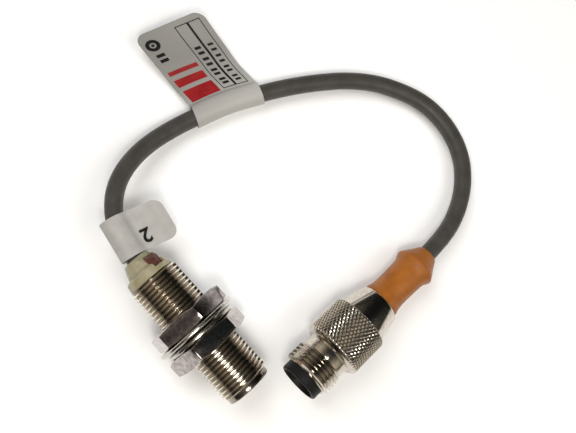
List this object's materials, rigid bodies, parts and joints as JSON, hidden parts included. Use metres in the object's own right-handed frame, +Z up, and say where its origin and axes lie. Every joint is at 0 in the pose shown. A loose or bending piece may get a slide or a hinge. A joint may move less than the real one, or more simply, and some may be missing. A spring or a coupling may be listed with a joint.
{
  "type": "proximity sensor",
  "caption": "Inductive proximity sensor: a threaded metal barrel with two hex nuts and lock washers, on a short cable that ends in a threaded male connector.",
  "frame": {"origin": "on the surface that the part lies on, under the middle of the sensor's length and under its axis", "axes": "+X along the sensor's axis towards its sensing face, +Z up, +Y towards the side where the cable's loop and the connector lie"},
  "size_m": [0.0925, 0.0913, 0.02],
  "materials": {
    "nickel_plated_brass": "nickel plated, turned",
    "plated_steel": "nickel plated, stamped",
    "contact_metal": "gold plated",
    "face_plastic": "satin",
    "ferrite": "matt",
    "bobbin_plastic": "matt",
    "copper": "enamelled",
    "circuit_board": "solder mask",
    "chip_black": "moulded",
    "capacitor_ceramic": "ceramic",
    "clear_window": "clear, dark red",
    "cap_ivory": "translucent ivory",
    "led_lens": "clear",
    "wire_insulation": "satin",
    "potting_resin": "cast",
    "cable_jacket": "matt, extruded",
    "label_paper": "printed film",
    "carrier_black": "satin",
    "seal_rubber": "matt",
    "boot_orange": "matt, moulded"
  },
  "bodies": {
    "sensor": {"threaded_barrel": "nickel_plated_brass", "retaining_clip": "plated_steel", "crimp_sleeve": "plated_steel", "contact_pins": "contact_metal", "sensing_face_cap": "face_plastic", "ferrite_core": "ferrite", "coil_bobbin": "bobbin_plastic", "core_spacer": "bobbin_plastic", "coil_winding": "copper", "circuit_board": "circuit_board", "oscillator_chip": "chip_black", "driver_chip": "chip_black", "switching_transistors": "chip_black", "resistors": "chip_black", "capacitors": "capacitor_ceramic", "led_window": "clear_window", "rear_cap": "cap_ivory", "status_led": "led_lens", "sensor_wires": "wire_insulation", "connector_wires": "wire_insulation", "potting_compound": "potting_resin", "inner_mould": "potting_resin", "cable": "cable_jacket", "marker_label": "label_paper", "type_label": "label_paper", "contact_carrier": "carrier_black", "carrier_seal": "seal_rubber", "boot": "boot_orange"},
    "rear_washer": {"rear_lock_washer": "plated_steel"},
    "rear_nut": {"rear_nut": "nickel_plated_brass"},
    "front_washer": {"front_lock_washer": "plated_steel"},
    "front_nut": {"front_nut": "nickel_plated_brass"},
    "connector_sleeve": {"coupling_nut": "nickel_plated_brass"}
  },
  "joints": [
    {"name": "rear_washer_slide", "type": "slide", "parent": "sensor", "child": "rear_washer", "axis": [-1, 0, 0], "range_m": [0, 0.01]},
    {"name": "rear_nut_turn", "type": "hinge", "parent": "rear_washer", "child": "rear_nut", "pos_m": [-0.0012, 0, 0.01], "axis": [-1, 0, 0], "range_deg": [0, 3600]},
    {"name": "front_washer_slide", "type": "slide", "parent": "sensor", "child": "front_washer", "axis": [1, 0, 0], "range_m": [0, 0.009]},
    {"name": "front_nut_turn", "type": "hinge", "parent": "front_washer", "child": "front_nut", "pos_m": [0.0052, 0, 0.01], "axis": [1, 0, 0], "range_deg": [0, 3240]},
    {"name": "coupling_nut_turn", "type": "hinge", "parent": "sensor", "child": "connector_sleeve", "pos_m": [0.02573, 0.00844, 0.00977], "axis": [0.0017, 0.9928, -0.1199], "continuous": true}
  ],
  "couplings": [
    {"joint": "rear_washer_slide", "follows": "rear_nut_turn", "m_per_rad": 0.00015915},
    {"joint": "front_washer_slide", "follows": "front_nut_turn", "m_per_rad": 0.00015915}
  ]
}
